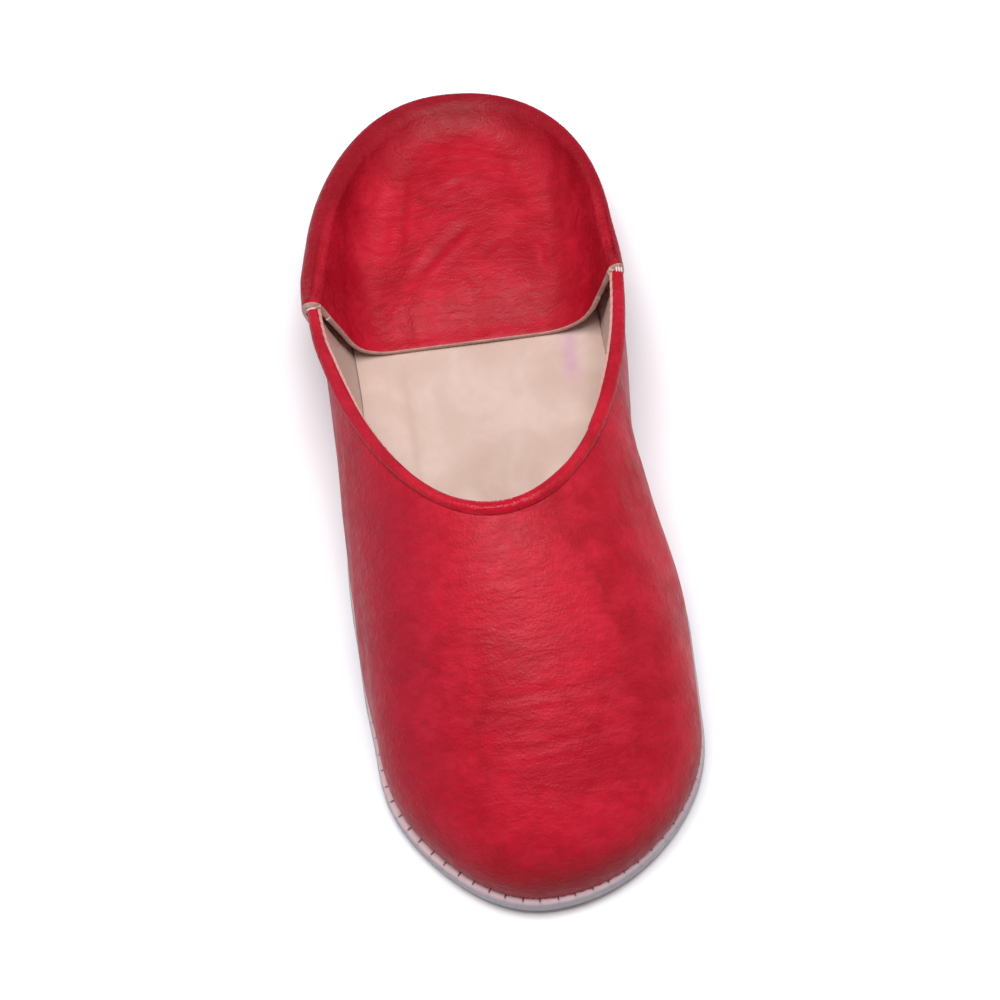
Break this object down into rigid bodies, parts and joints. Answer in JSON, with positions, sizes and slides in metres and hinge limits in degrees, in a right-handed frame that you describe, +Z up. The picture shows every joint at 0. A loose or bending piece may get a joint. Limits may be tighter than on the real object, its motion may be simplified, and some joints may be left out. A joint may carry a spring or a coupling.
{
  "type": "babouche slipper",
  "caption": "Flat leather slipper for the right foot with a broad rounded toe, a rolled collar and a back folded down flat inside.",
  "frame": {"origin": "on the floor under the middle of the slipper's plan", "axes": "+Z up from the floor, +Y from the toe to the heel, +X to the inner side of the right foot"},
  "size_m": [0.1012, 0.2678, 0.0618],
  "materials": {
    "sole_leather": "natural vegetable-tanned sole leather, matte",
    "lining_leather": "undyed beige lining leather, matte",
    "upper_leather": "dyed red goat leather, soft semi-gloss",
    "back_leather": "dyed red goat leather with a raw tan edge"
  },
  "bodies": {
    "root": {"outsole": "sole_leather", "insole": "lining_leather", "upper": "upper_leather", "heel_counter": "back_leather"}
  },
  "joints": []
}
